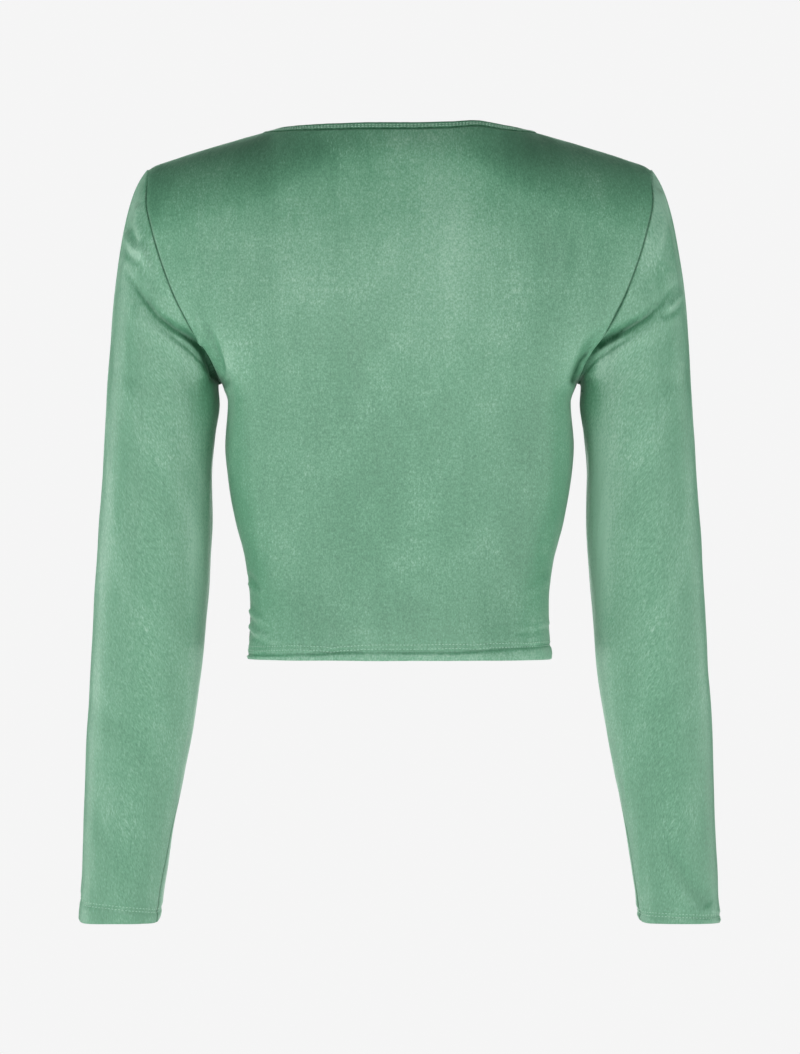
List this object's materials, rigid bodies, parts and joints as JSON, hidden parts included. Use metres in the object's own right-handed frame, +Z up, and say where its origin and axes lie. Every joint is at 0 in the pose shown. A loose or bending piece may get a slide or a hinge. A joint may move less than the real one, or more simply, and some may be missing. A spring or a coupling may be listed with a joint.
{
  "type": "drawstring crop top",
  "caption": "Long-sleeved cropped top in satin jersey with a bound wide neck, turned hem and cuffs and a drawstring channel down the front, in its worn hollow shape.",
  "frame": {"origin": "middle of the neck at the height of the shoulder line, where the wearer's shoulders hold the top up", "axes": "+Z up the wearer's body, -Y out of the front of the top, +X to the wearer's left"},
  "size_m": [0.5056, 0.2206, 0.6244],
  "materials": {
    "cloth": "green satin jersey, soft sheen with fine lengthwise streaks",
    "binding": "the same green jersey, folded and stitched",
    "casing": "the same green jersey, gathered and stitched"
  },
  "bodies": {
    "root": {"back_panel": "cloth", "front_panel": "cloth", "sleeve_left": "cloth", "sleeve_right": "cloth", "neck_binding": "binding", "drawstring_casing": "casing"}
  },
  "joints": []
}
